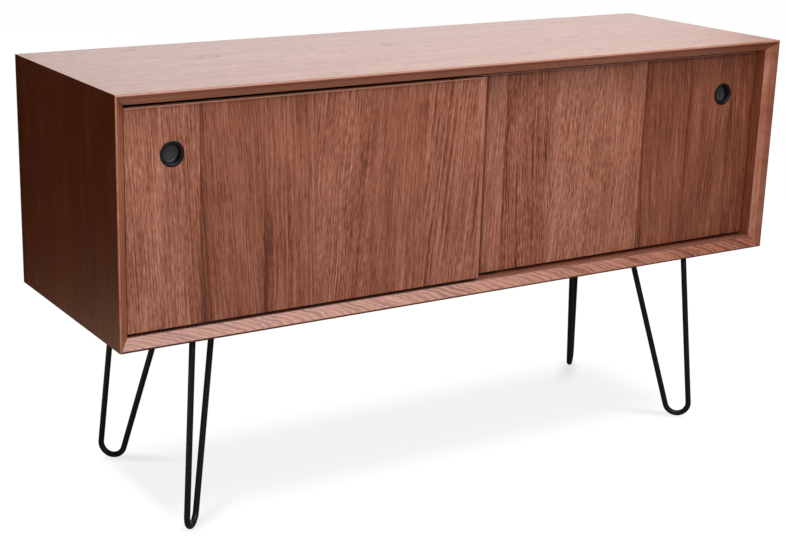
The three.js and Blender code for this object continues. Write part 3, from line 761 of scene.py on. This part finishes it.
def cable_grommet(node):
    """A ring that lines a cable hole: a sleeve through the board and a crowned flange behind it."""
    low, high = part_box(node)
    centre = Vector(((low.x + high.x) / 2, low.y, (low.z + high.z) / 2))
    flange = (high.x - low.x) / 2
    length = high.y - low.y
    sleeve = flange - GROMMET_FLANGE
    inner = sleeve - GROMMET_WALL
    under_flange = length - GROMMET_FLANGE_THICKNESS
    profile = eased_profile(
        [
            (inner, 0, 0.5 * MM),
            (sleeve, 0, 0.5 * MM),
            (sleeve, under_flange, 0),
            (flange, under_flange, 0.2 * MM),
            (flange - 0.4 * MM, length - 0.3 * MM, 0.6 * MM),
            (sleeve + 1 * MM, length, 1.2 * MM),
            (inner, length, 1.0 * MM),
        ],
        closed=True,
    )
    stand_in(node, turned(node, profile, centre, (0, 1, 0), closed=True), "black_plastic")


def shelf_pin(node):
    """A turned pin: a stem in the board, a collar against it, and a rounded end under the shelf."""
    low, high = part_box(node)
    middle = (low + high) / 2
    side = 1 if "right" in node else -1
    out = side if "inner" in node else -side
    start = Vector((low.x if out > 0 else high.x, middle.y, middle.z))
    length = high.x - low.x
    stem = PIN_RADIUS
    collar = (high.y - low.y) / 2
    seat = PIN_IN_BOARD + GLUE_LINE
    profile = eased_profile(
        [
            (0, 0, 0),
            (stem - 0.1 * MM, 0, 0.8 * MM),
            (stem - 0.1 * MM, seat, 0),
            (collar, seat, 0.15 * MM),
            (collar, seat + PIN_COLLAR, 0.4 * MM),
            (stem, seat + PIN_COLLAR, 0.15 * MM),
            (stem, length, 1.6 * MM),
            (0, length, 0),
        ]
    )
    stand_in(node, turned(node, profile, start, (out, 0, 0), sides=40), "nickel")


def door_tracks():
    for node in ("front_lower_track", "rear_lower_track"):
        refined(node, "brown_plastic", PLASTIC_ROUND_OVER)


# ---------------------------------------------------------------------------
# Sliding doors
# ---------------------------------------------------------------------------


def finger_pull(node):
    """A recessed cup with a thin crowned flange, its mouth towards the front."""
    low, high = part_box(node)
    flange = (high.x - low.x) / 2
    face = PULL_FLANGE_THICKNESS
    depth = high.y - low.y - face
    centre = Vector(((low.x + high.x) / 2, low.y + face, (low.z + high.z) / 2))
    body = flange - PULL_FLANGE
    cup = body - PULL_WALL
    floor = depth - PULL_FLOOR * MM
    profile = eased_profile(
        [
            (0, -depth, 0),
            (body, -depth, 0.8 * MM),
            (body, GLUE_LINE, 0),
            (flange, GLUE_LINE, 0.1 * MM),
            (flange - 0.1 * MM, face * 0.62, 0.5 * MM),
            (flange - 1.1 * MM, face, 0.8 * MM),
            (cup + 0.9 * MM, face * 0.95, 0.5 * MM),
            (cup, face * 0.25, 0.7 * MM),
            (cup - 0.2 * MM, -floor + 1.4 * MM, 1.2 * MM),
            (cup - 2.4 * MM, -floor, 1.8 * MM),
            (0, -floor + 0.15 * MM, 0),
        ]
    )
    stand_in(node, turned(node, profile, centre, (0, -1, 0)), node)


def felt_pad(node):
    """A small pad with a soft, uneven surface."""
    low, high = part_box(node)
    shape = bmesh.new()
    bmesh.ops.create_cube(shape, size=1.0)
    bmesh.ops.subdivide_edges(shape, edges=shape.edges, cuts=11, use_grid_fill=True)
    size = high - low
    for vertex in shape.verts:
        soft = vertex.co.copy()
        for axis in range(3):
            squeeze = 1 - 0.06 * sum((2 * soft[other]) ** 8 for other in range(3) if other != axis)
            vertex.co[axis] = soft[axis] * size[axis] * squeeze
        vertex.co += (low + high) / 2
        fuzz = noise.noise(vertex.co / (0.6 * MM)) * 0.03 * MM
        vertex.co.x += fuzz if abs(soft.x) < 0.49 else -abs(fuzz) * math.copysign(1, soft.x)
    stand_in(node, mesh_from(shape, node), "felt")


def sliding_door(name):
    refined(name, name, DOOR_ROUND_OVER)
    finger_pull(f"{name}_pull")
    for end in ("left", "right"):
        refined(f"{name}_glide_{end}", "black_plastic", PLASTIC_ROUND_OVER)
        refined(f"{name}_guide_{end}", "black_plastic", PLASTIC_ROUND_OVER)
    for end in ("lower", "upper"):
        felt_pad(f"{name}_pad_{end}")


# ---------------------------------------------------------------------------
# Hairpin legs
# ---------------------------------------------------------------------------


CORNERS = ("front_left", "front_right", "back_left", "back_right")


class LegPlane:
    """The upright plane of one leg: distances along its diagonal towards the middle, and heights."""

    def __init__(self, corner):
        low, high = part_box(f"{corner}_leg_plate")
        self.middle = (low + high) / 2
        self.under_plate = low.z
        side = math.copysign(1, self.middle.x)
        depth = math.copysign(1, self.middle.y)
        self.inward = Vector((-side, -depth, 0)).normalized()
        self.across = Vector((0, 0, 1)).cross(self.inward)
        self.foot_height = ROD_RADIUS + BEND_RADIUS
        self.box_underside = high.z + GLUE_LINE
        self.plate_middle = (self.at_box(OUTER_LEAN, -1) + self.at_box(INNER_LEAN, 1)) / 2

    def at_height(self, lean, side, height):
        """How far along the diagonal a rod is at a height. Side is -1 for the outer rod."""
        tangent = FOOT_INSET + side * BEND_RADIUS * math.cos(lean)
        tangent_height = self.foot_height - side * BEND_RADIUS * math.sin(lean)
        return tangent + (height - tangent_height) * math.tan(lean)

    def at_box(self, lean, side):
        return self.at_height(lean, side, self.box_underside)

    def point(self, along, height, across=0.0):
        start = self.middle - self.inward * self.plate_middle
        flat = start + self.inward * along + self.across * across
        return Vector((flat.x, flat.y, height))


def hairpin_stations(plane):
    """The rod's centre line, plate to foot to plate, as (along, height, run, rise)."""
    top = plane.under_plate - GLUE_LINE
    stations = []

    def straight(lean, side, heights):
        for height in heights:
            along = plane.at_height(lean, side, height)
            stations.append((along, height, side * math.sin(lean), side * math.cos(lean)))

    steps = [top, top - 40 * MM, (top + plane.foot_height) / 2]
    straight(OUTER_LEAN, -1, steps)
    first = math.pi - OUTER_LEAN
    last = 2 * math.pi - INNER_LEAN
    for i in range(BEND_STEPS + 1):
        angle = first + (last - first) * i / BEND_STEPS
        along = FOOT_INSET + BEND_RADIUS * math.cos(angle)
        height = plane.foot_height + BEND_RADIUS * math.sin(angle)
        stations.append((along, height, -math.sin(angle), math.cos(angle)))
    straight(INNER_LEAN, 1, steps[::-1])
    return stations


def rod_ring(plane, station, level):
    """The rod's section at one station. A level section is cut flat, as it is under the plate."""
    along, height, run, rise = station
    ring = []
    for i in range(ROD_SIDES):
        angle = 2 * math.pi * i / ROD_SIDES
        off = ROD_DRAWN * math.cos(angle)
        side = ROD_DRAWN * math.sin(angle)
        at, up = along + off * rise, height - off * run
        if level:
            at += (height - up) * run / rise
            up = height
        ring.append(plane.point(at, up, side))
    return ring


def weld_bead(shape, plane, lean, side, rng):
    """A ring of weld round the rod under the plate, with the small waves of a hand weld."""
    top = plane.under_plate - GLUE_LINE / 2
    section = [(-0.4, 0.0), (1.0, 0.0), (0.86, 0.3), (0.5, 0.62), (0.16, 0.9), (-0.3, 1.0)]
    sides = 48
    phase = rng.uniform(0, 2 * math.pi)
    rings = []
    for i in range(sides):
        angle = 2 * math.pi * i / sides
        wave = 1 + 0.10 * math.sin(9 * angle + phase) + rng.uniform(-0.05, 0.05)
        ring = []
        for out, down in section:
            height = top - down * WELD_BEAD * wave
            radius = ROD_RADIUS + out * WELD_BEAD * (wave if out > 0 else 1)
            along = plane.at_height(lean, side, height) + radius * math.cos(angle) / math.cos(lean)
            ring.append(shape.verts.new(plane.point(along, height, radius * math.sin(angle))))
        rings.append(ring)
    for ring, after in zip(rings, rings[1:] + rings[:1]):
        join_rings(shape, ring, after)


def hairpin_rod(corner, rng):
    """One bent rod with a weld at each end."""
    plane = LegPlane(corner)
    stations = hairpin_stations(plane)
    shape = bmesh.new()
    rings = []
    for i, station in enumerate(stations):
        points = rod_ring(plane, station, level=i in (0, len(stations) - 1))
        rings.append([shape.verts.new(point) for point in points])
    for low, high in zip(rings, rings[1:]):
        join_rings(shape, low, high)
    shape.faces.new(rings[0])
    shape.faces.new(list(reversed(rings[-1])))
    weld_bead(shape, plane, OUTER_LEAN, -1, rng)
    weld_bead(shape, plane, INNER_LEAN, 1, rng)
    node = f"{corner}_leg_rod"
    stand_in(node, mesh_from(shape, node), "powder_coat")


def driver_recess(x, y, reach):
    """Depth, from 0 to 1, of a cross recess at a point on a screw's head."""
    slot = 0.22 * reach
    near = min(abs(x), abs(y))
    far = max(abs(x), abs(y))
    across = max(0.0, min(1.0, (slot - near) / (0.35 * slot)))
    along = max(0.0, min(1.0, (reach - far) / (0.3 * reach)))
    return across * along


def leg_screw(node):
    """A pan-head wood screw, head down: domed head, cross recess and a coarse thread."""
    low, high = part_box(node)
    centre = (low + high) / 2
    head = (high.x - low.x) / 2
    seat = low.z + SCREW_HEAD_HEIGHT
    sides = 48
    shape = bmesh.new()
    rings = [[shape.verts.new((centre.x, centre.y, low.z + 1.2 * MM))] * sides]

    def ring(radius, height):
        points = []
        for i in range(sides):
            angle = 2 * math.pi * i / sides
            x, y = radius * math.cos(angle), radius * math.sin(angle)
            up = height(x, y) if callable(height) else height
            points.append(shape.verts.new((centre.x + x, centre.y + y, up)))
        rings.append(points)

    def dome(x, y):
        share = math.hypot(x, y) / head
        return low.z + 1.1 * MM * share**3 + 1.2 * MM * driver_recess(x, y, 0.62 * head)

    for i in range(1, 17):
        ring(head * 0.94 * i / 16, dome)
    ring(head * 0.99, low.z + 1.35 * MM)
    ring(head, low.z + 1.7 * MM)
    ring(head, seat - 0.15 * MM)
    ring(head - 0.15 * MM, seat)
    thread_steps = 42
    for i in range(thread_steps + 1):
        z = seat + (high.z - seat) * i / thread_steps
        taper = min(1.0, (high.z - z) / SCREW_POINT)
        points = []
        for j in range(sides):
            angle = 2 * math.pi * j / sides
            turn = ((z - seat) / SCREW_PITCH - j / sides) % 1.0
            crest = max(0.0, 1 - abs(turn - 0.5) / 0.28)
            radius = max(0.02 * MM, SCREW_RADIUS * taper * (0.74 + 0.25 * crest))
            x, y = radius * math.cos(angle), radius * math.sin(angle)
            points.append(shape.verts.new((centre.x + x, centre.y + y, z)))
        rings.append(points)
    for inner, outer in zip(rings, rings[1:]):
        join_rings(shape, inner, outer)
    shape.faces.new(rings[-1])
    stand_in(node, mesh_from(shape, node), "black_zinc")


def hairpin_legs():
    rng = random.Random(7)
    for corner in CORNERS:
        hairpin_rod(corner, rng)
        refined(f"{corner}_leg_plate", "powder_coat", PLATE_ROUND_OVER)
        for i in range(4):
            leg_screw(f"{corner}_leg_screw_{i + 1}")


# ---------------------------------------------------------------------------
# Stage: floor, lights and camera
# ---------------------------------------------------------------------------

FLOOR_RADIUS = 30.0
FLOOR_TONE = 0.05  # as it is seen and mirrored
FLOOR_BOUNCE = 0.55  # as it lights other things
MIRRORED_GLOW = 0.12  # how much of its glow is mirrored
MIRROR_FADE = (350.0, 1100.0)  # Y over which the floor behind the cabinet goes dark in mirrors
FLOOR_GLOW = 0.99
SHADOW_DEPTH = 0.12  # of the soft shadow under the cabinet
LEG_SHADOW_DEPTH = 0.16
LEFT_GLOW = (0.9, -700.0, -900.0)  # extra mirrored glow of the floor left of the cabinet, and its X
LEFT_TINT = [(0.0, (1.0, 1.0, 1.0)), (1.0, (1.0, 0.70, 0.42))]


def soft_shadow(look):
    """The soft shadow between the feet, from 0 to 1. It fades at the right."""
    feet = LegPlane("front_right").point(FOOT_INSET, 0) / MM
    sides = look.x.step(-feet.x - 30, -feet.x + 5) * look.x.step(feet.x + 100, feet.x - 30)
    return sides * look.y.step(feet.y - 15, feet.y + 105) * look.y.step(55 - feet.y, -65 - feet.y)


def leg_shadow(look, corner):
    """The darker streak on the floor below a leg's leaning rod, from 0 to 1."""
    plane = LegPlane(corner)
    foot = plane.point(FOOT_INSET, 0) / MM
    fall = (plane.inward + Vector((0.35 if plane.inward.x > 0 else 0, 0, 0))).normalized()
    x, y = look.x - foot.x, look.y - foot.y
    along = x * fall.x + y * fall.y
    aside = look.maths("ABSOLUTE", x * fall.y - y * fall.x)
    return aside.step(26, 0) * along.step(150, 0) * along.step(-24, 0)


def studio_floor():
    """A pale floor with no edge in view. Its glow is seen and mirrored, but lights nothing."""
    shape = bmesh.new()
    bmesh.ops.create_circle(shape, cap_ends=True, segments=64, radius=FLOOR_RADIUS)
    floor = bpy.data.objects.new("studio_floor", mesh_from(shape, "studio_floor"))
    bpy.context.scene.collection.objects.link(floor)
    look = Look("pale_floor", Roughness=0.9, Specular_IOR_Level=0.0)
    path = look.node("LightPath", {})
    seen = Field(look, path.outputs["Is Camera Ray"])
    mirrored = Field(look, path.outputs["Is Glossy Ray"])
    speck = look.noise(look.scaled(0.02), detail=3.0) * 0.01
    behind = mirrored * look.y.step(*MIRROR_FADE)
    unlit = FLOOR_BOUNCE - FLOOR_TONE
    tone = (speck + FLOOR_BOUNCE - (seen + mirrored) * unlit) * (1.0 - behind)
    glow = FLOOR_GLOW - soft_shadow(look) * SHADOW_DEPTH
    for corner in CORNERS:
        glow = glow - leg_shadow(look, corner) * LEG_SHADOW_DEPTH
    look.feed(look.shader.inputs["Base Color"], look.vector(tone, tone, tone))
    at_left = look.x.step(*LEFT_GLOW[1:])
    look.feed(look.shader.inputs["Emission Color"], look.ramp(mirrored * at_left, LEFT_TINT))
    mirror = at_left * LEFT_GLOW[0] + MIRRORED_GLOW
    look.feed(look.shader.inputs["Emission Strength"], glow * (seen + (mirrored - behind) * mirror))
    floor.data.materials.append(look.material)


def black_card():
    """A black wall to the left of the cabinet, which only its left side mirrors."""
    x, front, back, height = -1.35, 0.0, 3.5, 1.8
    shape = bmesh.new()
    corners = [(x, front, 0.02), (x, back, 0.02), (x, back, height), (x, front, height)]
    shape.faces.new([shape.verts.new(corner) for corner in corners])
    card = bpy.data.objects.new("black_card", mesh_from(shape, "black_card"))
    bpy.context.scene.collection.objects.link(card)
    look = Look("card_black", Base_Color=(0.004, 0.004, 0.004, 1), Roughness=1.0, Specular_IOR_Level=0.0)
    card.data.materials.append(look.material)
    card.visible_camera = False
    card.visible_shadow = False


def softbox(name, place, aim, width, height, radiance):
    """A rectangular lamp that isn't seen itself."""
    light = bpy.data.lights.new(name, "AREA")
    light.shape = "RECTANGLE"
    light.size, light.size_y = width, height
    light.energy = radiance * math.pi * width * height
    lamp = bpy.data.objects.new(name, light)
    lamp.location = place
    lamp.rotation_euler = (Vector(aim) - Vector(place)).to_track_quat("-Z", "Y").to_euler()
    lamp.visible_camera = False
    bpy.context.scene.collection.objects.link(lamp)
    return lamp


def studio_lights():
    middle = (0, 0, 0.45)
    softbox("overhead_softbox", (0.42, -0.95, 2.35), (0.1, -0.1, 0.4), 2.4, 0.95, 6.1)
    softbox("front_softbox", (-0.2, -2.9, 2.05), middle, 2.0, 1.6, 4.2)
    softbox("back_softbox", (2.15, 3.6, 1.75), (0.1, 0, 0.6), 3.4, 3.4, 2.2)
    left = softbox("left_softbox", (-3.2, -2.2, 1.0), middle, 1.6, 1.6, 3.9)
    left.visible_glossy = False


def studio_world():
    """White to the camera, and dim to everything else."""
    world = bpy.data.worlds.new("studio_world")
    world.use_nodes = True
    nodes, links = world.node_tree.nodes, world.node_tree.links
    background = nodes["Background"]
    path = nodes.new("ShaderNodeLightPath")
    mix = nodes.new("ShaderNodeMapRange")
    mix.inputs["To Min"].default_value = 0.03
    mix.inputs["To Max"].default_value = 1.1
    links.new(path.outputs["Is Camera Ray"], mix.inputs["Value"])
    links.new(mix.outputs[0], background.inputs["Strength"])
    background.inputs["Color"].default_value = (1, 1, 1, 1)
    bpy.context.scene.world = world


def camera():
    """A long lens from the front left, a little above the cabinet's top."""
    a, e, r = CAMERA_AZIMUTH, CAMERA_ELEVATION, CAMERA_ROLL
    ahead = Vector((math.sin(a) * math.cos(e), math.cos(a) * math.cos(e), -math.sin(e)))
    level = ahead.cross(Vector((0, 0, 1))).normalized()
    upright = level.cross(ahead)
    right = level * math.cos(r) + upright * math.sin(r)
    up = upright * math.cos(r) - level * math.sin(r)
    data = bpy.data.cameras.new("camera")
    data.lens = CAMERA_LENS
    data.shift_x, data.shift_y = CAMERA_SHIFT
    data.clip_end = 2 * FLOOR_RADIUS
    eye = bpy.data.objects.new("camera", data)
    turn = Matrix((right, up, -ahead)).transposed()
    eye.matrix_world = Matrix.Translation(CAMERA_PLACE) @ turn.to_4x4()
    bpy.context.scene.collection.objects.link(eye)
    bpy.context.scene.camera = eye
    bpy.context.scene.view_settings.view_transform = "Standard"


# ---------------------------------------------------------------------------
# Assembly
# ---------------------------------------------------------------------------

camera()
studio_floor()
black_card()
studio_lights()
studio_world()

box_boards()
inner_boards()
for side in ("left", "right"):
    cable_grommet(f"{side}_cable_grommet")
    for board in ("outer", "inner"):
        for end in ("front", "rear"):
            shelf_pin(f"{side}_shelf_pin_{board}_{end}")
door_tracks()
sliding_door("front_door")
sliding_door("rear_door")
hairpin_legs()
